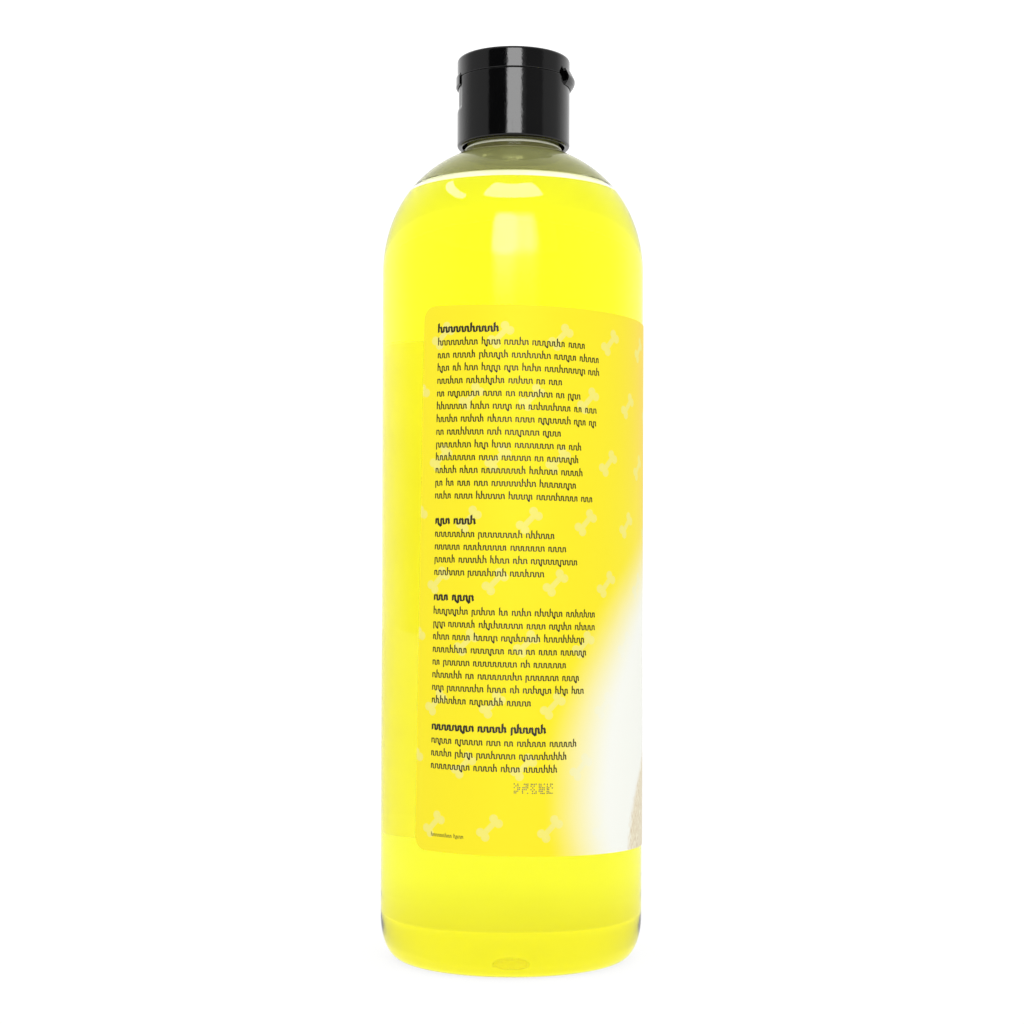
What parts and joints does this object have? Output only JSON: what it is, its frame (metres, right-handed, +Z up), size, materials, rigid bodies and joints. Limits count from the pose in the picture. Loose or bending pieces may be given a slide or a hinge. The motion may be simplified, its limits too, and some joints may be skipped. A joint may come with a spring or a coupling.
{
  "type": "shampoo bottle",
  "caption": "Slim round clear bottle of yellow pet shampoo with a domed shoulder, a wrap-round label and a black screw cap with a flip-top lid.",
  "frame": {"origin": "centre of the base, on the surface that the bottle stands on", "axes": "+Z up along the bottle's axis; +X towards the lid's hinge; -X towards the lid's thumb lip; the label's first edge is at 42 degrees from -Y towards -X"},
  "size_m": [0.0621, 0.0622, 0.2131],
  "materials": {
    "clear_pet": "clear blow-moulded polyester, glossy",
    "shampoo_liquid": "clear bright yellow liquid",
    "label_film": "printed self-adhesive film, semi-gloss",
    "liner_foam": "white foamed polyethylene",
    "black_pp": "glossy black moulded polypropylene",
    "hinge_film": "thin black polypropylene film, satin"
  },
  "bodies": {
    "bottle": {"bottle": "clear_pet", "shampoo": "shampoo_liquid", "wrap_label": "label_film"},
    "liner": {"seal_liner": "liner_foam"},
    "cap": {"cap_base": "black_pp", "hinge_strap": "hinge_film"},
    "lid": {"cap_lid": "black_pp"}
  },
  "joints": [
    {"name": "cap_lift", "type": "slide", "parent": "bottle", "child": "liner", "axis": [0, 0, 1], "range_m": [0, 0.0048]},
    {"name": "cap_turn", "type": "hinge", "parent": "liner", "child": "cap", "pos_m": [0, 0, 0.2], "axis": [0, 0, 1], "range_deg": [0, 540]},
    {"name": "lid_hinge", "type": "hinge", "parent": "cap", "child": "lid", "pos_m": [0.0137, 0, 0.2081], "axis": [0, 1, 0], "range_deg": [0, 130], "deforming": ["hinge_strap"]}
  ],
  "couplings": [
    {"joint": "cap_lift", "follows": "cap_turn", "m_per_rad": 0.00050532}
  ]
}
